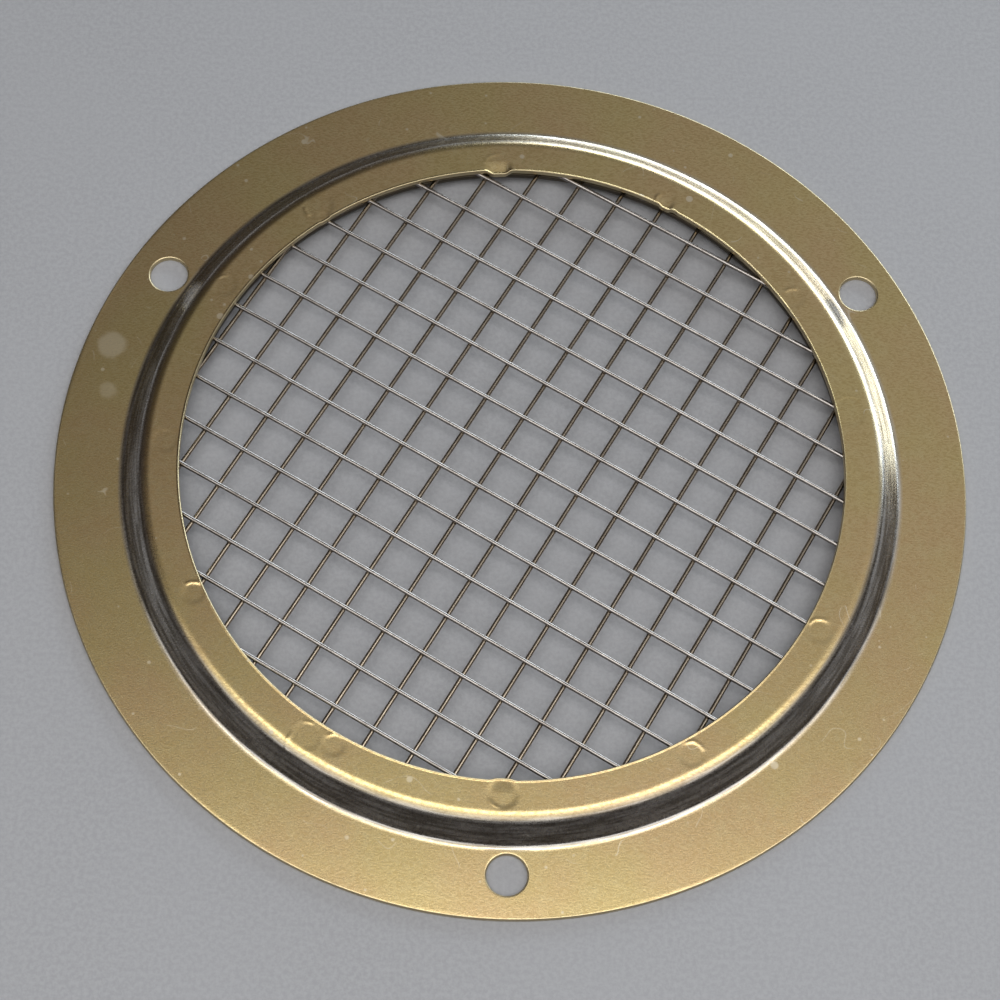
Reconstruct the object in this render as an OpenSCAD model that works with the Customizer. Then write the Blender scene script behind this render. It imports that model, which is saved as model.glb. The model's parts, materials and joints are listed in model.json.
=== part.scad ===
// Round guard for the air opening of a heater: a pressed sheet-steel ring
// whose raised land grips a disc of welded wire mesh.
//
// Layers from the rear up: the retaining ring, the lower wires, the upper
// wires, then the underside of the land. Spot welds tie the retaining ring to
// the land through the cells of the mesh. The land stands high enough to keep
// the retaining ring clear of the plane that the flange lies on.
//
// Frame: millimetres. The origin is on the ring's axis in the plane of the
// flange's rear face, +Z points to the raised side, and one mounting hole is on -Y.

/* [Flange ring] */
// Outside diameter of the flange
flange_d = 130; // [127:1:150]
// Diameter of the air opening inside the land
opening_d = 94; // [90:1:95]
// Thickness of the pressed sheet
sheet_t = 0.8; // [0.5:0.1:1]
// Radial width of the flat on top of the land
land_w = 4.1; // [4:0.1:4.6]
// Height of the land's underside above the underside of the flange
land_rise = 3.3; // [2.4:0.1:3.6]
// Radial width of the step between the land and the flange
step_w = 4.5; // [4:0.1:4.6]
// Inside radius of the bend between the land and the sloping wall
shoulder_r = 1.7; // [1:0.1:1.8]
// Inside radius of the bend between the sloping wall and the flange
foot_r = 0.8; // [0.5:0.1:1]

/* [Mounting holes] */
// Number of mounting holes
hole_count = 3; // [3:1:8]
// Diameter of each mounting hole, clearance for an M5 screw
hole_d = 5.5; // [4.3:0.1:5.5]
// Diameter of the circle through the hole centres
hole_pcd = 118; // [118:1:120]

/* [Wire mesh] */
// Diameter of the mesh wire
wire_d = 0.65; // [0.5:0.05:1]
// Distance between neighbouring wires
mesh_pitch = 6.27; // [5:0.01:8]
// Turn of the mesh about the ring's axis
mesh_angle = -30; // [-90:1:90]
// Distance from the ring's axis to the upper wire nearest to it
upper_shift = 0.09; // [-3:0.01:3]
// Distance from the ring's axis to the lower wire nearest to it
lower_shift = -2.09; // [-3:0.01:3]
// Radial gap between the wires' ends and the edge of the land's flat
mesh_gap = 0.3; // [0.3:0.1:1]
// Shortest wire that the mesh keeps at its edge
shortest_wire = 12; // [10:1:30]

/* [Retaining ring] */
// Inside diameter of the retaining ring
ring_inner_d = 95; // [95:0.5:96]
// Outside diameter of the retaining ring
ring_outer_d = 102; // [101:0.5:102]
// Thickness of the retaining ring
ring_t = 0.8; // [0.5:0.1:1]

/* [Spot welds] */
// Turn of the whole uneven ring of hand-placed welds
weld_turn = 0; // [-15:1:15]
// Diameter of the fused spot
weld_d = 1.8; // [1.2:0.1:2]
// Diameter of the circle that the welds follow
weld_pcd = 98.4; // [98.2:0.1:98.6]
// How far a weld may turn from its place to miss the wires
weld_reach = 3.5; // [2:0.5:5]
// How far a weld may move in or out to miss the wires
weld_drift = 0.8; // [0.4:0.1:0.8]

/* [Hidden] */
$fn = 96;
wire_fn = 24;
bend_steps = 10;
cut_clear = 1;

// Heights of the layers, stacked down from the underside of the land
upper_z = land_rise - wire_d / 2;
lower_z = upper_z - wire_d;
ring_top = land_rise - 2 * wire_d;
ring_z = ring_top - ring_t;

// Step between land and flange: a straight wall, tangent to a bend at each end
opening_r = opening_d / 2;
flange_r = flange_d / 2;
land_r = opening_r + land_w;
step_r = land_r + step_w;
bends_r = shoulder_r + foot_r + sheet_t;
bends_drop = bends_r - land_rise;
wall_angle = asin(bends_r / norm([step_w, bends_drop])) - atan2(bends_drop, step_w);
shoulder_centre = [land_r, land_rise - shoulder_r];
foot_centre = [step_r, sheet_t + foot_r];

// Places of the hand-made spot welds round the land, about 30 degrees apart
weld_places = [11, 34, 63, 94, 126, 148, 178, 206, 239, 269, 300, 330];

// Mesh disc and the wires that cross it
mesh_r = land_r - mesh_gap;
mesh_steps = ceil(mesh_r / mesh_pitch);
upper_offsets = wire_offsets(upper_shift);
lower_offsets = wire_offsets(lower_shift);

// Half the length of a wire whose whole width stays inside the mesh disc
function half_chord(offset) =
    let (outer_side = abs(offset) + wire_d / 2)
    outer_side < mesh_r ? sqrt(mesh_r * mesh_r - outer_side * outer_side) : 0;

// Distances from the ring's axis of one layer's wires
function wire_offsets(shift) = [
    for (k = [-mesh_steps : mesh_steps])
        let (offset = shift + k * mesh_pitch)
        if (2 * half_chord(offset) >= shortest_wire) offset
];

// Name of a wire's node, numbered from 01
function wire_name(layer, index) = str(layer, index < 9 ? "_0" : "_", index + 1);

// Distance from a coordinate to the surface of the nearest wire of one layer
function wire_clearance(coordinate, shift) =
    let (steps = (coordinate - shift) / mesh_pitch)
    abs(steps - round(steps)) * mesh_pitch - wire_d / 2;

// Distance from a polar place, [angle, radius], to the nearest wire
function weld_clearance(polar) = min(
    wire_clearance(polar[1] * sin(polar[0] - mesh_angle), upper_shift),
    wire_clearance(polar[1] * cos(polar[0] - mesh_angle), lower_shift)
);

// The clearest polar place for a weld near its own angle
function weld_spot(angle) =
    let (spots = [
        for (turn = [-weld_reach : 0.5 : weld_reach], drift = [-weld_drift : 0.1 : weld_drift])
            [angle + turn, weld_pcd / 2 + drift]
    ])
    let (gaps = [for (spot = spots) weld_clearance(spot)])
    spots[search(max(gaps), gaps)[0]];

// Points of an arc about a centre, from one angle to another
function arc_points(centre, radius, from, to) = [
    for (k = [0 : bend_steps])
        let (angle = from + (to - from) * k / bend_steps)
        centre + radius * [cos(angle), sin(angle)]
];

// Section of the pressed ring: out along its underside and back along its top
module ring_section() {
    polygon(concat(
        [[opening_r, land_rise]],
        arc_points(shoulder_centre, shoulder_r, 90, 90 - wall_angle),
        arc_points(foot_centre, foot_r + sheet_t, 270 - wall_angle, 270),
        [[flange_r, 0], [flange_r, sheet_t]],
        arc_points(foot_centre, foot_r, 270, 270 - wall_angle),
        arc_points(shoulder_centre, shoulder_r + sheet_t, 90 - wall_angle, 90),
        [[opening_r, land_rise + sheet_t]]
    ));
}

// Holes on the mounting circle, the first one on -Y
module mounting_holes() {
    for (i = [0 : hole_count - 1])
        rotate(i * 360 / hole_count - 90)
            translate([hole_pcd / 2, 0, -cut_clear])
                cylinder(d = hole_d, h = sheet_t + 2 * cut_clear);
}

// Pressed sheet ring with its raised land and mounting holes
module flange_ring() {
    color("darkgoldenrod") difference() {
        rotate_extrude() ring_section();
        mounting_holes();
    }
}

// Flat ring that holds the mesh against the land
module retaining_ring() {
    color("goldenrod") difference() {
        translate([0, 0, ring_z]) cylinder(d = ring_outer_d, h = ring_t);
        translate([0, 0, ring_z - cut_clear])
            cylinder(d = ring_inner_d, h = ring_t + 2 * cut_clear);
    }
}

// Fused spots between the retaining ring and the underside of the land
module spot_welds() {
    color("dimgray") for (place = weld_places) {
        spot = weld_spot(place + weld_turn);
        rotate(spot[0])
            translate([spot[1], 0, ring_top])
                cylinder(d = weld_d, h = 2 * wire_d);
    }
}

// Straight wire along X at a distance from the ring's axis
module straight_wire(offset, height) {
    translate([-half_chord(offset), offset, height])
        rotate([0, 90, 0])
            cylinder(d = wire_d, h = 2 * half_chord(offset), $fn = wire_fn);
}

// Wire of the layer that touches the land
module upper_wire(index) {
    color("silver") rotate(mesh_angle) straight_wire(upper_offsets[index], upper_z);
}

// Wire of the layer that lies on the retaining ring
module lower_wire(index) {
    color("rosybrown") rotate(mesh_angle - 90) straight_wire(lower_offsets[index], lower_z);
}

flange_ring();
retaining_ring();
spot_welds();
for (i = [0 : len(upper_offsets) - 1])
    upper_wire(i);
for (i = [0 : len(lower_offsets) - 1])
    lower_wire(i);
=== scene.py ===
import json
import math
import random

import bpy
import numpy as np
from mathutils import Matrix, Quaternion, Vector


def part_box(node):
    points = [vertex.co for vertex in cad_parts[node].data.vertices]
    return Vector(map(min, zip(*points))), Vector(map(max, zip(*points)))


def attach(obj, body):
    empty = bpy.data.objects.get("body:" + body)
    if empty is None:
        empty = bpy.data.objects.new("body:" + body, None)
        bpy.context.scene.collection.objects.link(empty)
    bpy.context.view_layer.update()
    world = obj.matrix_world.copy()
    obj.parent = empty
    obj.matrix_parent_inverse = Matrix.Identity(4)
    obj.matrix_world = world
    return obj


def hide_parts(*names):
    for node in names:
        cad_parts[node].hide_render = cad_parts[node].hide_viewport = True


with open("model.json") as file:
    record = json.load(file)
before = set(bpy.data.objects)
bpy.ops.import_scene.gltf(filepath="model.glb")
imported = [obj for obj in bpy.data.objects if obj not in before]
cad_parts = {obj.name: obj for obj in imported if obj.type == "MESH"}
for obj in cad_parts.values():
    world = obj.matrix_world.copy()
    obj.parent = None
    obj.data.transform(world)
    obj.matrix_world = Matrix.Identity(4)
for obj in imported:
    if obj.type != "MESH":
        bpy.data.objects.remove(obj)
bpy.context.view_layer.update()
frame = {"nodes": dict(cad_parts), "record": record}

# A round wire-mesh guard for a heater's air opening. Lengths are in metres,
# and MM turns millimetres into metres. Angles round the ring are in degrees
# from +X towards +Y, as seen from above.
MM = 0.001


# ---------------------------------------------------------------- sizes

def node_points(node):
    """The corner points of a CAD node."""
    return np.array([v.co for v in frame["nodes"][node].data.vertices], float)


def mount(name):
    """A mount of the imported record."""
    return next(m for m in frame["record"]["mounts"] if m["name"] == name)


def axis_distance(points):
    """Each point's distance from the ring's axis."""
    return np.hypot(points[:, 0], points[:, 1])


TINY = 0.002 * MM
ring_points = node_points("flange_ring")
ring_radii = axis_distance(ring_points)
FLANGE_R = ring_radii.max()
OPENING_R = ring_radii.min()
LAND_TOP = ring_points[:, 2].max()
SHEET = ring_points[ring_radii > FLANGE_R - TINY, 2].max()
LAND_R = ring_radii[ring_points[:, 2] > LAND_TOP - TINY].max()
STEP_R = ring_radii[ring_points[:, 2] < TINY].min()

retainer_points = node_points("retaining_ring")
retainer_radii = axis_distance(retainer_points)
RETAINER_TOP = retainer_points[:, 2].max()
RETAINER_LOW = retainer_points[:, 2].min()
RETAINER_IN = retainer_radii.min()
RETAINER_OUT = retainer_radii.max()

HOLES = mount("mounting_holes")["dims"]
HOLE_R = HOLES["hole_r_mm"] * MM
HOLE_CIRCLE_R = HOLES["pcd_mm"] / 2 * MM
HOLE_ANGLES = [k * 360 / HOLES["count"] - 90 for k in range(HOLES["count"])]

# The step is a straight sloping wall, tangent to a bend of the sheet at each end.
# The frame doesn't state the bends' radii: they repeat part.scad's shoulder_r
# and foot_r.
SHOULDER_R = 1.7 * MM
FOOT_R = 0.8 * MM
STEP_W = STEP_R - LAND_R
BENDS_R = SHOULDER_R + FOOT_R + SHEET
BENDS_DROP = BENDS_R - (LAND_TOP - SHEET)
WALL_ANGLE = (math.asin(BENDS_R / math.hypot(STEP_W, BENDS_DROP))
              - math.atan2(BENDS_DROP, STEP_W))


# ---------------------------------------------------------------- camera

CAMERA_TARGET = Vector((-1.7 * MM, -5.3 * MM, SHEET))
CAMERA_AZIMUTH = -3.46
CAMERA_ELEVATION = 66.95
CAMERA_DISTANCE = 303.3 * MM
CAMERA_ROLL = 4.67
CAMERA_LENS = 77.05
CAMERA_CLIP = 0.01


def direction(azimuth, elevation):
    """The unit vector towards a place round the object: azimuth 0 is -Y and 90 is +X."""
    a = math.radians(azimuth)
    e = math.radians(elevation)
    return Vector((math.sin(a) * math.cos(e), -math.cos(a) * math.cos(e), math.sin(e)))


def make_camera():
    """The camera, at the viewing angle of the photograph."""
    data = bpy.data.cameras.new("camera")
    data.lens = CAMERA_LENS
    data.clip_start = CAMERA_CLIP
    camera = bpy.data.objects.new("camera", data)
    bpy.context.scene.collection.objects.link(camera)
    back = direction(CAMERA_AZIMUTH, CAMERA_ELEVATION)
    camera.location = CAMERA_TARGET + back * CAMERA_DISTANCE
    camera.rotation_mode = "QUATERNION"
    roll = Quaternion((0, 0, 1), math.radians(CAMERA_ROLL))
    camera.rotation_quaternion = (-back).to_track_quat("-Z", "Y") @ roll
    bpy.context.scene.camera = camera


make_camera()
bpy.context.scene.view_settings.view_transform = "Standard"


# ---------------------------------------------------------------- node graphs

class Graph:
    """Builds a material's node graph with short calls."""

    def __init__(self, name):
        self.material = bpy.data.materials.new(name)
        self.material.use_nodes = True
        self.tree = self.material.node_tree
        self.shader = self.tree.nodes["Principled BSDF"]
        self.place = self.node("ShaderNodeTexCoord").outputs["Object"]

    def node(self, kind, inputs=(), **settings):
        """A node with its settings and inputs. An input is a value or a socket to link."""
        made = self.tree.nodes.new(kind)
        for key, value in settings.items():
            setattr(made, key, value)
        for key, value in dict(inputs).items():
            self.put(made.inputs[key], value)
        return made

    def put(self, socket, value):
        """Sets or links one input."""
        if isinstance(value, bpy.types.NodeSocket):
            self.tree.links.new(value, socket)
        else:
            socket.default_value = value

    def stretched(self, turn, scale):
        """Object coordinates in millimetres, turned about Z and then scaled along each axis."""
        mapping = self.node("ShaderNodeMapping", {
            "Vector": self.place,
            "Rotation": (0, 0, math.radians(turn)),
            "Scale": [s / MM for s in scale],
        })
        return mapping.outputs["Vector"]

    def noise(self, vector, scale, detail=3.0, roughness=0.55, distortion=0.0):
        """Noise from 0 to 1."""
        return self.node("ShaderNodeTexNoise", {
            "Vector": vector,
            "Scale": scale,
            "Detail": detail,
            "Roughness": roughness,
            "Distortion": distortion,
        }).outputs["Fac"]

    def ramp(self, value, low, high, to_low=0.0, to_high=1.0):
        """A value's range from low to high, mapped smoothly and clamped."""
        return self.node("ShaderNodeMapRange", {
            "Value": value,
            "From Min": low,
            "From Max": high,
            "To Min": to_low,
            "To Max": to_high,
        }, interpolation_type="SMOOTHSTEP").outputs["Result"]

    def math(self, operation, a, b=0.0, clamp=False):
        """Arithmetic on two values."""
        made = self.node("ShaderNodeMath", operation=operation, use_clamp=clamp)
        self.put(made.inputs[0], a)
        self.put(made.inputs[1], b)
        return made.outputs[0]

    def mix(self, share, a, b):
        """A colour between a and b."""
        made = self.node("ShaderNodeMix", data_type="RGBA")
        self.put(made.inputs["Factor"], share)
        self.put(made.inputs["A"], a)
        self.put(made.inputs["B"], b)
        return made.outputs["Result"]

    def attribute(self, name):
        """A number stored at the mesh's points."""
        return self.node("ShaderNodeAttribute", attribute_name=name).outputs["Fac"]

    def bump(self, layers):
        """Stacks bump layers, each a (height, distance, strength), into the normal."""
        normal = None
        for height, distance, strength in layers:
            inputs = {"Height": height, "Distance": distance, "Strength": strength}
            if normal is not None:
                inputs["Normal"] = normal
            normal = self.node("ShaderNodeBump", inputs).outputs["Normal"]
        self.put(self.shader.inputs["Normal"], normal)

    def finish(self, **inputs):
        """Fills the shader's inputs and returns the material."""
        for key, value in inputs.items():
            self.put(self.shader.inputs[key.replace("_", " ")], value)
        return self.material


def rgb(red, green, blue):
    """A linear colour with full alpha."""
    return (red, green, blue, 1.0)


# ---------------------------------------------------------------- materials

# Dried water drops on the flange: x, y and radius in mm, then strength.
STAINS = [(-58.4, 17.6, 2.1, 0.38), (-58.4, 10.3, 1.3, 0.28)]
STAIN_FADE = 0.9
STAIN_RAGGED = 1.0 * MM

# Specks, in mm: how much of each is solid, and how far its edge fades.
SPECK_CORE = 0.06
SPECK_FADE = 0.10

# Where a look fades in from the land's edge and out at the step's outer edge.
WALL_IN = (0.5 * MM, 1.8 * MM)
WALL_OUT = (-0.6 * MM, 0.5 * MM)
BEND_IN = (-0.3 * MM, 0.5 * MM)
BEND_OUT = (-0.3 * MM, 0.4 * MM)
DRAWN_LINES = 3.2 / MM

GRAIN_SHADE = rgb(0.72, 0.68, 0.61)
MARK_COLOUR = rgb(0.62, 0.57, 0.47)
SILVER_LIGHT = rgb(0.70, 0.70, 0.70)
SILVER_DARK = rgb(0.30, 0.29, 0.28)


def stain_mask(g):
    """Dried water drops: each at its strength inside, fading raggedly at its edge."""
    ragged = g.noise(g.stretched(0, (1, 1, 1)), 0.9, 3.0)
    total = 0.0
    for x, y, radius, strength in STAINS:
        offset = g.node("ShaderNodeVectorMath", {0: g.place, 1: (x * MM, y * MM, SHEET)},
                        operation="DISTANCE").outputs["Value"]
        reach = g.math("ADD", offset, g.math("MULTIPLY", ragged, STAIN_RAGGED))
        inside = g.ramp(reach, radius * MM, (radius + STAIN_FADE) * MM, strength, 0.0)
        total = g.math("ADD", total, inside, clamp=True)
    return total


def speck_mask(g, size, share, radius):
    """Soft round specks in some cells of a grid, all lengths in millimetres."""
    cells = g.node("ShaderNodeTexVoronoi", {
        "Vector": g.stretched(0, (1, 1, 1)),
        "Scale": 1 / size,
    })
    chosen = g.node("ShaderNodeSeparateColor", {"Color": cells.outputs["Color"]})
    shown = g.math("LESS_THAN", chosen.outputs["Red"], share)
    wide = g.math("MULTIPLY", chosen.outputs["Green"], radius / size)
    reach = g.math("SUBTRACT", cells.outputs["Distance"], wide)
    near = g.ramp(reach, -SPECK_CORE / size, SPECK_FADE / size, 1.0, 0.0)
    return g.math("MULTIPLY", shown, near)


def scratch_mask(g, scale, width, share):
    """Thin wandering hairline scratches in patches."""
    flat = g.stretched(25, (1, 1, 1))
    line = g.math("ABSOLUTE", g.math("SUBTRACT", g.noise(flat, scale, 1.0, 0.4, 0.6), 0.5))
    patchy = g.noise(g.stretched(70, (1, 1, 1)), scale * 1.7, 1.0)
    patch = g.ramp(patchy, 1 - share, 1.04 - share)
    return g.math("MULTIPLY", g.ramp(line, 0.0, width, 1.0, 0.0), patch)


def step_mask(g, radius, fade_in, fade_out):
    """1 on the step between the land and the flange, from a distance from the axis."""
    return g.math("MULTIPLY",
                  g.ramp(radius, LAND_R + fade_in[0], LAND_R + fade_in[1]),
                  g.ramp(radius, STEP_R + fade_out[0], STEP_R + fade_out[1], 1.0, 0.0))


def wall_masks(g):
    """1 on the drawn wall, 1 on the whole step with its bends, and the wall's streaks."""
    flat = g.node("ShaderNodeVectorMath", {0: g.place, 1: (1, 1, 0)}, operation="MULTIPLY")
    radius = g.node("ShaderNodeVectorMath", {0: flat.outputs["Vector"]},
                    operation="LENGTH").outputs["Value"]
    wall = step_mask(g, radius, WALL_IN, WALL_OUT)
    bend = step_mask(g, radius, BEND_IN, BEND_OUT)
    way = g.node("ShaderNodeVectorMath", {0: flat.outputs["Vector"]}, operation="NORMALIZE")
    rings = g.node("ShaderNodeCombineXYZ", {"Z": g.math("MULTIPLY", radius, DRAWN_LINES)})
    drawn = g.node("ShaderNodeVectorMath", {
        0: way.outputs["Vector"], 1: (7, 7, 0), 2: rings.outputs["Vector"],
    }, operation="MULTIPLY_ADD")
    return wall, bend, g.noise(drawn.outputs["Vector"], 1.0, 3.0, 0.6)


def passivated_steel(name, base, warm, pale, edge, roughness):
    """Yellow-passivated satin sheet steel; its drawn wall has lost the tint and been polished."""
    g = Graph(name)
    flat = g.stretched(0, (1, 1, 1))
    patches = g.ramp(g.noise(flat, 0.05, 2.0), 0.35, 0.65)
    mottle = g.noise(flat, 0.6, 4.0, 0.65)
    grain = g.noise(g.stretched(35, (0.7, 1.4, 1)), 2.4, 3.0, 0.7)
    fine = g.noise(flat, 7.0, 2.0, 0.6)
    specks = g.math("MAXIMUM",
                    speck_mask(g, size=3.6, share=0.4, radius=0.55),
                    speck_mask(g, size=1.7, share=0.2, radius=0.25))
    scratches = scratch_mask(g, scale=0.11, width=0.004, share=0.42)
    stains = stain_mask(g)
    cut = g.attribute("cut_edge")
    wall, bend, drawn = wall_masks(g)
    flats = g.math("SUBTRACT", 1.0, bend)

    colour = g.mix(patches, base, warm)
    colour = g.mix(g.ramp(mottle, 0.42, 0.72, 0.0, 0.35), colour, pale)
    shaded = g.node("ShaderNodeMix", {"Factor": 1.0}, data_type="RGBA", blend_type="MULTIPLY")
    g.put(shaded.inputs["A"], colour)
    g.put(shaded.inputs["B"], GRAIN_SHADE)
    colour = g.mix(g.ramp(grain, 0.42, 0.64, 0.0, 0.8), colour, shaded.outputs["Result"])
    marks = g.math("MAXIMUM", g.math("MULTIPLY", specks, 0.5), stains)
    marks = g.math("MAXIMUM", marks, g.math("MULTIPLY", scratches, 0.5))
    colour = g.mix(marks, colour, MARK_COLOUR)
    silver = g.mix(g.ramp(drawn, 0.38, 0.62), SILVER_LIGHT, SILVER_DARK)
    colour = g.mix(g.math("MULTIPLY", wall, 0.88), colour, silver)
    # The cut edges take the edge colour. On the flange it is the edge metal's own colour; on the
    # retaining ring it is near-black painted shade.
    colour = g.mix(g.math("MULTIPLY", cut, 0.92), colour, edge)

    rough = g.ramp(grain, 0.3, 0.7, roughness - 0.03, roughness + 0.05)
    rough = g.math("ADD", rough, g.math("MULTIPLY", marks, 0.22))
    rough = g.math("ADD", rough, g.math("MULTIPLY", cut, 0.08))
    g.bump([
        (mottle, 0.012 * MM, g.math("MULTIPLY", flats, 0.5)),
        (grain, 0.0065 * MM, flats),
        (fine, 0.0022 * MM, flats),
        (g.math("MULTIPLY", drawn, wall), 0.014 * MM, 1.0),
    ])
    return g.finish(Base_Color=colour, Metallic=1.0, Roughness=rough)


def drawn_wire(name, base, dark, roughness):
    """Drawn, plated wire: bright with short dull lengths and small pits."""
    g = Graph(name)
    flat = g.stretched(0, (1, 1, 1))
    lengths = g.noise(flat, 0.35, 3.0)
    pits = g.noise(flat, 6.0, 3.0, 0.7)
    colour = g.mix(g.ramp(lengths, 0.4, 0.7, 0.0, 0.5), base, dark)
    colour = g.mix(g.ramp(pits, 0.58, 0.75, 0.0, 0.6), colour, dark)
    rough = g.ramp(pits, 0.35, 0.7, roughness, roughness + 0.15)
    g.bump([(pits, 0.006 * MM, 0.6), (lengths, 0.03 * MM, 0.3)])
    return g.finish(Base_Color=colour, Metallic=1.0, Roughness=rough)


def fused_steel(name):
    """Dull grey-blue steel of a fused weld spot."""
    g = Graph(name)
    flat = g.stretched(0, (1, 1, 1))
    scale = g.noise(flat, 2.0, 4.0, 0.7)
    colour = g.mix(g.ramp(scale, 0.4, 0.65), rgb(0.10, 0.09, 0.09), rgb(0.28, 0.24, 0.20))
    g.bump([(scale, 0.05 * MM, 0.8)])
    rough = g.ramp(scale, 0.3, 0.7, 0.4, 0.65)
    return g.finish(Base_Color=colour, Metallic=0.8, Roughness=rough)


def table_top(name):
    """Matte pale grey table surface with a faint fine texture."""
    g = Graph(name)
    flat = g.stretched(0, (1, 1, 1))
    fine = g.noise(flat, 1.6, 4.0, 0.7)
    broad = g.noise(flat, 0.03, 2.0)
    colour = g.mix(g.ramp(fine, 0.35, 0.65), rgb(0.325, 0.328, 0.342), rgb(0.375, 0.378, 0.392))
    colour = g.mix(g.ramp(broad, 0.3, 0.7, 0.0, 0.25), colour, rgb(0.375, 0.379, 0.396))
    g.bump([(fine, 0.05 * MM, 0.4)])
    return g.finish(Base_Color=colour, Roughness=0.55)


FLANGE_STEEL = passivated_steel(
    "flange_steel", base=rgb(0.58, 0.455, 0.215), warm=rgb(0.59, 0.43, 0.225),
    pale=rgb(0.63, 0.52, 0.28), edge=rgb(0.56, 0.47, 0.29), roughness=0.265)
# The retaining ring's near-black edge colour is painted shade: its cut edges sit in the dark gap
# under the land, and this colour darkens them far below their own metal.
RETAINER_STEEL = passivated_steel(
    "retainer_steel_shade_painted_edges", base=rgb(0.50, 0.39, 0.19), warm=rgb(0.50, 0.37, 0.20),
    pale=rgb(0.56, 0.46, 0.26), edge=rgb(0.05, 0.045, 0.04), roughness=0.30)
# Both layers are the same drawn wire. The lower layer's warmer, browner tint is painted
# reflection of dim warm surroundings; the grey-brown base and the dull lengths are the wire's
# own.
UPPER_WIRE = drawn_wire(
    "upper_wire_plate", base=rgb(0.33, 0.305, 0.285), dark=rgb(0.17, 0.145, 0.125),
    roughness=0.15)
LOWER_WIRE = drawn_wire(
    "lower_wire_plate_and_painted_reflection", base=rgb(0.36, 0.30, 0.23), dark=rgb(0.19, 0.15, 0.11),
    roughness=0.18)
WELD_STEEL = fused_steel("weld_steel")
TABLE = table_top("table")


# ---------------------------------------------------------------- mesh helpers

def link_mesh(name, points, faces, material, edge=None):
    """A smooth-shaded mesh object, with an optional cut_edge value at each point."""
    mesh = bpy.data.meshes.new(name)
    mesh.from_pydata([tuple(p) for p in points], [], [tuple(f) for f in faces])
    mesh.materials.append(material)
    mesh.polygons.foreach_set("use_smooth", [True] * len(mesh.polygons))
    if edge is not None:
        attribute = mesh.attributes.new("cut_edge", "FLOAT", "POINT")
        attribute.data.foreach_set("value", np.asarray(edge, np.float32))
    mesh.update()
    made = bpy.data.objects.new(name, mesh)
    bpy.context.scene.collection.objects.link(made)
    return made


def smooth(low, high, value):
    """0 below low, 1 above high, and a smooth ramp between."""
    t = np.clip((value - low) / (high - low), 0, 1)
    return t * t * (3 - 2 * t)


def ripple(x, y, length, seed):
    """A smooth, repeatable wandering value from -1 to 1 whose swings are about length long."""
    rng = random.Random(seed)
    total = 0.0
    for _ in range(5):
        turn = rng.uniform(0, 2 * math.pi)
        step = 2 * math.pi / (length * rng.uniform(0.8, 1.8))
        total = total + np.sin(
            (x * math.cos(turn) + y * math.sin(turn)) * step + rng.uniform(0, 2 * math.pi))
    return total / 5


def spread(start, end, spacing):
    """Evenly spaced values from start to end, about spacing apart."""
    return list(np.linspace(start, end, max(2, round(abs(end - start) / spacing) + 1)))


# ---------------------------------------------------------------- sheet rings

COLUMNS = 1440
ROLL_OVER = 0.26 * MM
BURR = 0.05 * MM
ARC_STEPS = 5
BURR_STEPS = 3
BLEND_LOOPS = 6

# Spacing of the ring meshes' loops, closer where the sheet bends or shows its marks.
FINE_GRID = 0.16 * MM
STEP_GRID = 0.2 * MM
FLANGE_GRID = 0.36 * MM
REAR_STEP_GRID = 0.4 * MM
COARSE_GRID = 0.7 * MM

# Half the size of the block of cells that a hole takes, and where its clear zone starts.
HOLE_REACH = 3.6 * MM
HOLE_MARGIN = 3.75 * MM


def upper_surface(radius):
    """Height of the pressed ring's top at a distance from its axis."""
    return stepped(radius, SHOULDER_R + SHEET, FOOT_R, LAND_TOP, SHEET)


def lower_surface(radius):
    """Height of the pressed ring's underside at a distance from its axis."""
    return stepped(radius, SHOULDER_R, FOOT_R + SHEET, LAND_TOP - SHEET, 0.0)


def stepped(radius, convex, concave, high, low):
    """A flat at height high, a convex arc, a wall, a concave arc and a flat at height low."""
    radius = np.asarray(radius, float)
    wall_start = LAND_R + convex * math.sin(WALL_ANGLE)
    wall_end = STEP_R - concave * math.sin(WALL_ANGLE)
    along = np.clip(radius - LAND_R, 0, wall_start - LAND_R)
    shoulder = high - convex + np.sqrt(convex ** 2 - along ** 2)
    wall = np.clip(radius - wall_start, 0, None) * math.tan(WALL_ANGLE)
    back = np.clip(STEP_R - radius, 0, concave)
    foot = low + concave - np.sqrt(concave ** 2 - back ** 2)
    return np.where(radius < wall_end, shoulder - wall, foot)


def rim(edge_r, top, bottom, outward):
    """Points (radius, height) down a cut edge: rolled over on top, crisp at the bottom."""
    points = []
    for k in range(1, ARC_STEPS + 1):
        turn = math.pi / 2 * k / ARC_STEPS
        inset = ROLL_OVER * (1 - math.sin(turn))
        points.append((edge_r - outward * inset, top - ROLL_OVER * (1 - math.cos(turn))))
    points.append((edge_r, (top + bottom) / 2))
    for k in range(BURR_STEPS):
        turn = math.pi / 2 * k / BURR_STEPS
        inset = BURR * (1 - math.cos(turn))
        points.append((edge_r - outward * inset, bottom + BURR * (1 - math.sin(turn))))
    return points


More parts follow.
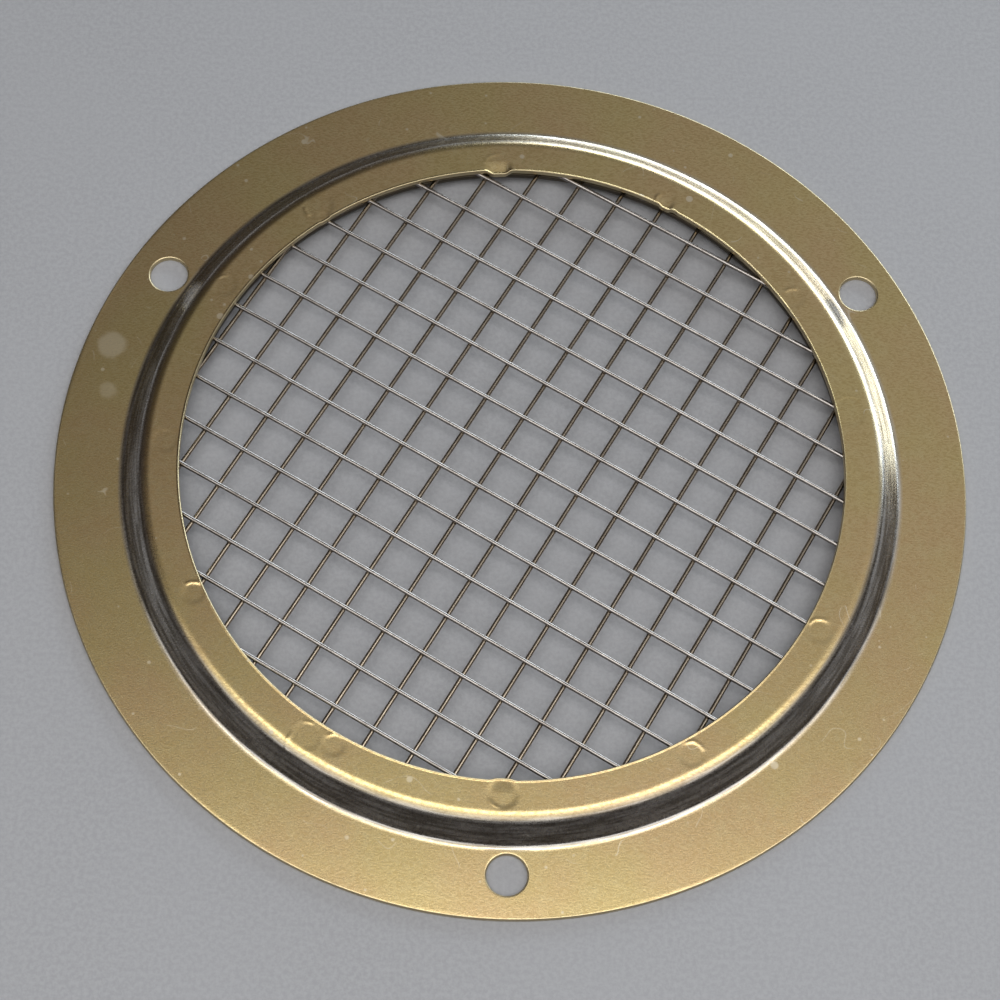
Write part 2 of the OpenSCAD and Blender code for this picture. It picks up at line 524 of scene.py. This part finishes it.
class SheetRing:
    """A closed ring mesh on a polar grid, with round holes set into it."""

    def __init__(self, inner_r, outer_r, top, bottom, top_radii, bottom_radii):
        self.top = top
        self.bottom = bottom
        self.top_radii = top_radii
        self.bottom_radii = bottom_radii
        section = [(r, float(top(r))) for r in top_radii]
        section += rim(outer_r, float(top(outer_r)), float(bottom(outer_r)), 1)
        self.bottom_row = len(section)
        section += [(r, float(bottom(r))) for r in reversed(bottom_radii)]
        section += list(reversed(rim(inner_r, float(top(inner_r)), float(bottom(inner_r)), -1)))
        self.rows = len(section)
        turn = np.linspace(0, 2 * math.pi, COLUMNS, endpoint=False)
        radius = np.array([p[0] for p in section])[:, None]
        height = np.array([p[1] for p in section])[:, None] * np.ones(COLUMNS)
        self.points = np.stack(
            [radius * np.cos(turn), radius * np.sin(turn), height], -1).reshape(-1, 3)
        on_top = np.zeros(self.rows)
        on_top[:len(top_radii)] = 1
        edge = np.zeros(self.rows)
        edge[len(top_radii):self.bottom_row] = 1
        edge[self.bottom_row + len(bottom_radii):] = 1
        self.on_top = np.repeat(on_top, COLUMNS)
        self.edge = np.repeat(edge, COLUMNS)
        self.keep = np.ones((self.rows, COLUMNS), bool)
        self.extra_faces = []

    def vertex(self, row, column):
        """The index of a grid point."""
        return row % self.rows * COLUMNS + column % COLUMNS

    def add_points(self, points, on_top, edge):
        """Adds a loop of points and returns their indices."""
        first = len(self.points)
        self.points = np.vstack([self.points, points])
        self.on_top = np.append(self.on_top, [on_top] * len(points))
        self.edge = np.append(self.edge, [edge] * len(points))
        return list(range(first, first + len(points)))

    def punch(self, angle, circle_r, hole_r, reach):
        """Sets a round hole into the grid, with loops from a block of cells to its wall."""
        radii = np.array(self.top_radii)
        first = int(np.argmin(abs(radii - (circle_r - reach))))
        last = int(np.argmin(abs(radii - (circle_r + reach))))
        half = round(reach / circle_r / (2 * math.pi) * COLUMNS)
        middle = round(angle / 360 * COLUMNS)
        columns = range(middle - half, middle + half)
        block = [(i, columns[0]) for i in range(first, last)]
        block += [(last, j) for j in columns]
        block += [(i, columns[-1] + 1) for i in range(last, first, -1)]
        block += [(first, j + 1) for j in reversed(columns)]
        under = {r: self.bottom_row + len(self.bottom_radii) - 1 - k
                 for k, r in enumerate(self.bottom_radii)}
        rows_under = [under[r] for r in self.top_radii[first:last + 1]]
        for j in columns:
            self.keep[first:last, j % COLUMNS] = False
            self.keep[rows_under[-1]:rows_under[0], j % COLUMNS] = False
        turn = math.radians(angle)
        centre = np.array([circle_r * math.cos(turn), circle_r * math.sin(turn)])
        above = [self.vertex(i, j) for i, j in block]
        below = [self.vertex(rows_under[i - first], j) for i, j in block]
        border = self.points[above, :2]
        heading = border - centre
        heading = heading / np.linalg.norm(heading, axis=1)[:, None]

        def loop(radius, height, edge):
            flat = centre + heading * radius
            return self.add_points(
                np.column_stack([flat, np.full(len(flat), height)]), 0.0, edge)

        def blended(share, radius, surface, on_top):
            flat = border * (1 - share) + (centre + heading * radius) * share
            height = surface(np.hypot(flat[:, 0], flat[:, 1]))
            return self.add_points(np.column_stack([flat, height]), on_top, 0.0)

        lip = hole_r + ROLL_OVER
        loops = [above]
        for k in range(1, BLEND_LOOPS + 1):
            loops.append(blended(k / BLEND_LOOPS, lip, self.top, 1.0))
        wall = rim(hole_r, float(self.top(circle_r)), float(self.bottom(circle_r)), -1)
        loops += [loop(radius, height, 1.0) for radius, height in wall]
        for k in range(BLEND_LOOPS, 0, -1):
            loops.append(blended(k / BLEND_LOOPS, hole_r + BURR, self.bottom, 0.0))
        loops.append(below)
        count = len(block)
        for outer, inner in zip(loops, loops[1:]):
            for k in range(count):
                n = (k + 1) % count
                self.extra_faces.append((outer[k], outer[n], inner[n], inner[k]))

    def faces(self):
        """All faces, leaving out the cells under the holes."""
        row, column = np.nonzero(self.keep)
        after = (row + 1) % self.rows
        beside = (column + 1) % COLUMNS
        grid = np.stack([
            row * COLUMNS + column,
            after * COLUMNS + column,
            after * COLUMNS + beside,
            row * COLUMNS + beside,
        ], -1)
        return np.vstack([grid, np.array(self.extra_faces or np.zeros((0, 4)), int)])

    def build(self, name, material):
        """Drops unused points and links the mesh."""
        faces = self.faces()
        used = np.unique(faces)
        renumber = np.zeros(len(self.points), int)
        renumber[used] = np.arange(len(used))
        return link_mesh(name, self.points[used], renumber[faces], material, self.edge[used])


# Electrode marks of the spot welds on the land: angle, distance from the axis in
# mm, mark radius in mm, depth in mm, then the raised lip: the middle of its arc,
# half of its span in degrees, its height and its half width in mm.
WELD_MARKS = [
    (10.2, 48.9, 2.3, 0.02, 95, 62, 0.022, 0.12),
    (33.3, 48.8, 1.5, 0.03, 102, 48, 0.075, 0.20),
    (62.5, 48.0, 1.3, 0.03, 150, 40, 0.080, 0.20),
    (93.6, 47.9, 1.9, 0.02, 128, 50, 0.035, 0.16),
    (126.3, 49.7, 2.1, 0.03, 215, 28, 0.080, 0.16),
    (148.3, 49.8, 1.6, 0.02, 105, 30, 0.045, 0.12),
    (178.6, 49.2, 1.7, 0.02, 80, 40, 0.015, 0.12),
    (206.3, 48.6, 1.5, 0.03, 95, 48, 0.075, 0.17),
    (236.9, 49.6, 1.9, 0.02, 85, 24, 0.040, 0.11),
    (237.7, 51.0, 2.6, 0.00, 165, 42, 0.045, 0.11),
    (241.2, 48.7, 1.5, 0.03, 88, 52, 0.055, 0.14),
    (269.1, 48.9, 1.9, 0.06, 232, 30, 0.060, 0.12),
    (299.7, 49.3, 1.7, 0.03, 68, 62, 0.070, 0.18),
    (329.6, 49.2, 1.7, 0.03, 98, 62, 0.070, 0.17),
]
# Places where the opening's edge is pushed in by a weld: angle, half width in
# degrees, how far in and how far down in mm.
EDGE_BUMPS = [
    (93.3, 2.6, 0.50, 0.30),
    (61.9, 1.4, 0.25, 0.10),
    (60.1, 0.8, -0.12, 0.0),
    (269.0, 2.4, 0.30, 0.08),
    (126.9, 1.5, 0.12, 0.05),
]
# The retaining ring's rear has the same marks, all alike and without a lip.
REAR_MARK = (49.25, 1.45, 0.12, 0, 180, 0.0, 0.1)
MARK_WALL = 0.45 * MM
LIP_RAGGED = 0.10 * MM
LIP_RAGGED_LENGTH = 1.1 * MM
LIP_CORE = 0.55
EDGE_HOLD = 1.9 * MM
EDGE_CORE = 0.35
LAND_SETTLE = 0.085 * MM
SURFACE_WANDER = 0.02 * MM
WANDER_LENGTH = 17 * MM


def press_marks(points, mask, marks, top_side):
    """Presses shallow electrode marks into a face and raises a ragged lip on part of each."""
    sign = -1 if top_side else 1
    for angle, distance, radius, depth, lip_middle, lip_span, lip_height, lip_width in marks:
        turn = math.radians(angle)
        dx = points[:, 0] - distance * MM * math.cos(turn)
        dy = points[:, 1] - distance * MM * math.sin(turn)
        away = np.hypot(dx, dy)
        heading = np.degrees(np.arctan2(dy, dx))
        ragged = LIP_RAGGED * ripple(dx, dy, LIP_RAGGED_LENGTH, round(angle))
        r = radius * MM
        near = mask & (away < 2 * r)
        dent = 1 - smooth(r - MARK_WALL, r + MARK_WALL, away)
        apart = abs((heading - lip_middle + 180) % 360 - 180)
        arc = 1 - smooth(LIP_CORE * lip_span, lip_span, apart)
        lip = arc * np.exp(-((away - r - ragged) / (lip_width * MM)) ** 2)
        change = dent * depth * MM - lip * lip_height * MM
        points[near, 2] += sign * change[near]


def push_edge(points):
    """Pushes the opening's edge in and down beside a few welds."""
    radius = axis_distance(points)
    turn = np.degrees(np.arctan2(points[:, 1], points[:, 0])) % 360
    hold = 1 - smooth(0.0, EDGE_HOLD, radius - OPENING_R)
    for angle, half_width, inward, down in EDGE_BUMPS:
        apart = (turn - angle + 180) % 360 - 180
        share = (1 - smooth(EDGE_CORE, 1.0, abs(apart) / half_width)) * hold
        scale = 1 - share * inward * MM / radius
        points[:, 0] *= scale
        points[:, 1] *= scale
        points[:, 2] -= share * down * MM


def make_flange_ring():
    """The pressed ring, with punched holes, weld marks and rolled cut edges."""
    step_out = HOLE_CIRCLE_R - HOLE_MARGIN
    top_radii = spread(OPENING_R + ROLL_OVER, LAND_R, FINE_GRID)
    top_radii += spread(LAND_R, step_out, STEP_GRID)[1:]
    flange = spread(step_out, FLANGE_R - ROLL_OVER, FLANGE_GRID)
    bottom_radii = spread(OPENING_R + BURR, LAND_R, COARSE_GRID)
    bottom_radii += spread(LAND_R, step_out, REAR_STEP_GRID)[1:]
    ring = SheetRing(
        OPENING_R, FLANGE_R, upper_surface, lower_surface,
        top_radii + flange[1:], bottom_radii + flange[1:])
    for angle in HOLE_ANGLES:
        ring.punch(angle, HOLE_CIRCLE_R, HOLE_R, HOLE_REACH)
    points = ring.points
    radius = axis_distance(points)
    top = ring.on_top > 0.5
    land = top & (radius < STEP_R)
    points[land, 2] -= LAND_SETTLE * (1 - smooth(LAND_R, STEP_R, radius[land]))
    wander = 0.5 + 0.5 * ripple(points[:, 0], points[:, 1], WANDER_LENGTH, 3)
    points[top, 2] -= SURFACE_WANDER * wander[top]
    press_marks(points, land, WELD_MARKS, True)
    push_edge(points)
    made = ring.build("flange_ring_pressed", FLANGE_STEEL)
    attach(made, "root")
    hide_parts("flange_ring")


def level(height):
    """A flat face: the same height at every distance from the axis."""
    return lambda radius: np.full_like(np.asarray(radius, float), height)


def make_retaining_ring():
    """The flat ring behind the mesh, with rolled edges and weld marks in its rear face."""
    lower = spread(RETAINER_IN + BURR, RETAINER_OUT - BURR, FINE_GRID)
    upper = spread(RETAINER_IN + ROLL_OVER, RETAINER_OUT - ROLL_OVER, COARSE_GRID)
    ring = SheetRing(
        RETAINER_IN, RETAINER_OUT, level(RETAINER_TOP), level(RETAINER_LOW), upper, lower)
    height = ring.points[:, 2]
    rear = (height < RETAINER_LOW + TINY) & (ring.edge < 0.5)
    marks = [(mark[0], *REAR_MARK) for mark in WELD_MARKS]
    press_marks(ring.points, rear, marks, False)
    made = ring.build("retaining_ring_flat", RETAINER_STEEL)
    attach(made, "root")
    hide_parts("retaining_ring")


# ---------------------------------------------------------------- wire mesh

WIRE_SIDES = 14
WIRE_STEP = 0.42 * MM

# How the drawn wires leave the CAD's straight ones: the mesh bows up unevenly,
# each wire sways between held ends, and each weld sinks, flares and flattens it.
MESH_BOW = 0.55 * MM
BOW_WANDER = 0.12 * MM
BOW_WANDER_LENGTH = 30 * MM
WIRE_SINK = 0.045 * MM
WIRE_SWAY = 0.07 * MM
SWAY_LENGTH = 23 * MM
SWAY_HOLD = 0.12
WELD_REACH = 0.42 * MM
WELD_FLARE = 0.22
WELD_FLATTEN = 0.06
WIRE_END = 0.86


class Wire:
    """A straight CAD wire, read back from its node."""

    def __init__(self, node):
        self.node = node
        points = node_points(node)
        middle = points.mean(0)
        spread_out = points - middle
        self.along = np.linalg.svd(spread_out, full_matrices=False)[2][0]
        self.along *= np.sign(self.along[0])
        reach = spread_out @ self.along
        self.start = middle + self.along * reach.min()
        self.length = reach.max() - reach.min()
        self.radius = (points[:, 2].max() - points[:, 2].min()) / 2
        self.across = np.array([-self.along[1], self.along[0], 0])

    def crossings(self, others):
        """Distances along this wire at which the other layer's wires cross it."""
        found = []
        for other in others:
            gap = (other.start - self.start)[:2]
            matrix = np.array([self.along[:2], -other.along[:2]]).T
            here, there = np.linalg.solve(matrix, gap)
            if 0 < here < self.length and 0 < there < other.length:
                found.append(here)
        return found


def mesh_lift(x, y):
    """How far the mesh bulges up over the opening."""
    radius = np.hypot(x, y) / OPENING_R
    dome = np.clip(1 - radius ** 2, 0, None)
    return dome * (MESH_BOW + BOW_WANDER * ripple(x, y, BOW_WANDER_LENGTH, 11))


def make_wire(wire, others, side, material, seed):
    """One drawn wire: gently swaying, sunk and flared where it is welded to those it crosses."""
    rng = random.Random(seed)
    sections = max(8, round(wire.length / WIRE_STEP))
    s = np.linspace(0, wire.length, sections + 1)
    line = wire.start + s[:, None] * wire.along
    hold = smooth(0, SWAY_HOLD, np.minimum(s, wire.length - s) / wire.length)
    phase = rng.uniform(0, 2 * math.pi)
    sway = WIRE_SWAY * rng.uniform(0.4, 1.0) * np.sin(s / SWAY_LENGTH * 2 + phase) * hold
    line = line + sway[:, None] * wire.across
    line[:, 2] += mesh_lift(line[:, 0], line[:, 1]) + side * WIRE_SINK
    weld = np.zeros(len(s))
    for place in wire.crossings(others):
        weld = np.maximum(weld, np.exp(-((s - place) / WELD_REACH) ** 2))
    turn = np.linspace(0, 2 * math.pi, WIRE_SIDES, endpoint=False)
    facing = np.clip(side * np.sin(turn), 0, 1)
    wide = wire.radius * np.cos(turn) * (1 + WELD_FLARE * weld[:, None] * facing)
    tall = wire.radius * np.sin(turn) * (1 - WELD_FLATTEN * weld[:, None])
    end = np.ones(len(s))
    end[0] = end[-1] = WIRE_END
    points = (line[:, None, :]
              + (wide * end[:, None])[..., None] * wire.across
              + (tall * end[:, None])[..., None] * np.array([0, 0, 1.0]))
    points = points.reshape(-1, 3)
    faces = []
    for k in range(sections):
        for m in range(WIRE_SIDES):
            n = (m + 1) % WIRE_SIDES
            a, b = k * WIRE_SIDES, (k + 1) * WIRE_SIDES
            faces.append((a + m, b + m, b + n, a + n))
    faces.append(tuple(range(WIRE_SIDES)))
    faces.append(tuple(reversed(range(sections * WIRE_SIDES, (sections + 1) * WIRE_SIDES))))
    made = link_mesh(wire.node + "_drawn", points, faces, material)
    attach(made, "root")
    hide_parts(wire.node)


def make_wire_mesh():
    """Both layers of the welded mesh."""
    upper = [Wire(n) for n in sorted(frame["nodes"]) if n.startswith("upper_wire")]
    lower = [Wire(n) for n in sorted(frame["nodes"]) if n.startswith("lower_wire")]
    for k, wire in enumerate(upper):
        make_wire(wire, lower, -1, UPPER_WIRE, 100 + k)
    for k, wire in enumerate(lower):
        make_wire(wire, upper, 1, LOWER_WIRE, 200 + k)


# ---------------------------------------------------------------- spot welds

NUGGET_SIDES = 20
NUGGET_ROWS = 9
NUGGET_WAIST = 0.22
NUGGET_LUMP = 0.05
NUGGET_FIT = 0.97
NUGGET_SPAN = 3 * MM


def weld_centres():
    """The middle of each separate solid of the spot_welds node."""
    groups = []
    for point in node_points("spot_welds"):
        for group in groups:
            if np.hypot(*(group[0] - point)[:2]) < NUGGET_SPAN:
                group.append(point)
                break
        else:
            groups.append([point])
    return [np.mean([np.max(g, 0), np.min(g, 0)], 0) for g in groups]


def make_spot_welds():
    """Fused nuggets: waisted, slightly lumpy columns between the retaining ring and the land."""
    low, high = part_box("spot_welds")
    centres = weld_centres()
    radius = node_points("spot_welds")[:, 0].max() - max(c[0] for c in centres)
    rng = random.Random(7)
    points = []
    faces = []
    for centre in centres:
        base = len(points)
        lumps = [rng.uniform(0, 2 * math.pi) for _ in range(3)]
        for k in range(NUGGET_ROWS):
            share = k / (NUGGET_ROWS - 1)
            waist = 1 - NUGGET_WAIST * math.sin(math.pi * share)
            for m in range(NUGGET_SIDES):
                turn = 2 * math.pi * m / NUGGET_SIDES
                waves = sum(math.sin((n + 2) * turn + a) for n, a in enumerate(lumps))
                lump = 1 + NUGGET_LUMP * waves / len(lumps)
                r = radius * waist * lump * NUGGET_FIT
                points.append((
                    centre[0] + r * math.cos(turn),
                    centre[1] + r * math.sin(turn),
                    low.z + share * (high.z - low.z),
                ))
        for k in range(NUGGET_ROWS - 1):
            for m in range(NUGGET_SIDES):
                n = (m + 1) % NUGGET_SIDES
                a, b = base + k * NUGGET_SIDES, base + (k + 1) * NUGGET_SIDES
                faces.append((a + m, a + n, b + n, b + m))
        top = base + (NUGGET_ROWS - 1) * NUGGET_SIDES
        faces.append(tuple(reversed(range(base, base + NUGGET_SIDES))))
        faces.append(tuple(range(top, top + NUGGET_SIDES)))
    made = link_mesh("spot_weld_nuggets", points, faces, WELD_STEEL)
    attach(made, "root")
    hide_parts("spot_welds")


# ---------------------------------------------------------------- table and light

TABLE_HALF = 4.0
TABLE_DROP = 0.02 * MM


def make_table():
    """The plain pale table that the guard lies on."""
    corners = [(-1, -1), (1, -1), (1, 1), (-1, 1)]
    points = [(x * TABLE_HALF, y * TABLE_HALF, -TABLE_DROP) for x, y in corners]
    floor = link_mesh("table_top", points, [(0, 1, 2, 3)], TABLE)


def area_light(name, azimuth, elevation, distance, size, power, colour):
    """A soft rectangular light aimed at the ring."""
    data = bpy.data.lights.new(name, "AREA")
    data.shape = "RECTANGLE"
    data.size, data.size_y = size
    data.energy = power
    data.color = colour
    light = bpy.data.objects.new(name, data)
    bpy.context.scene.collection.objects.link(light)
    towards = direction(azimuth, elevation)
    light.location = towards * distance
    light.rotation_mode = "QUATERNION"
    light.rotation_quaternion = towards.to_track_quat("Z", "Y")


GLOW_AZIMUTH = 120
GLOW_ELEVATION = 62
GLOW_START = 0.70
GLOW_FULL = 0.97
ROOM_DIM = rgb(0.042, 0.036, 0.034)
ROOM_GLOW = rgb(0.48, 0.485, 0.50)


def make_room():
    """A dim studio room with a soft glow high up at its far right side."""
    world = bpy.data.worlds.new("room")
    world.use_nodes = True
    tree = world.node_tree
    background = tree.nodes["Background"]
    place = tree.nodes.new("ShaderNodeTexCoord")
    facing = tree.nodes.new("ShaderNodeVectorMath")
    facing.operation = "DOT_PRODUCT"
    facing.inputs[1].default_value = direction(GLOW_AZIMUTH, GLOW_ELEVATION)
    tree.links.new(place.outputs["Generated"], facing.inputs[0])
    glow = tree.nodes.new("ShaderNodeMapRange")
    glow.inputs["From Min"].default_value = GLOW_START
    glow.inputs["From Max"].default_value = GLOW_FULL
    tree.links.new(facing.outputs["Value"], glow.inputs["Value"])
    tint = tree.nodes.new("ShaderNodeMix")
    tint.data_type = "RGBA"
    tint.inputs["A"].default_value = ROOM_DIM
    tint.inputs["B"].default_value = ROOM_GLOW
    tree.links.new(glow.outputs["Result"], tint.inputs["Factor"])
    tree.links.new(tint.outputs["Result"], background.inputs["Color"])
    bpy.context.scene.world = world


def make_lights():
    """Soft studio light: a softbox, a wide dim ceiling panel, and a low window far right."""
    area_light("softbox", azimuth=0, elevation=84, distance=0.7,
               size=(0.66, 0.18), power=1.2, colour=(1.0, 0.99, 0.97))
    area_light("ceiling", azimuth=0, elevation=66, distance=0.7,
               size=(1.40, 0.72), power=4.1, colour=(1.0, 0.99, 0.98))
    area_light("window", azimuth=146, elevation=12, distance=1.2,
               size=(1.4, 0.44), power=14.0, colour=(0.80, 0.91, 1.0))
    make_room()


make_flange_ring()
make_retaining_ring()
make_wire_mesh()
make_spot_welds()
make_table()
make_lights()
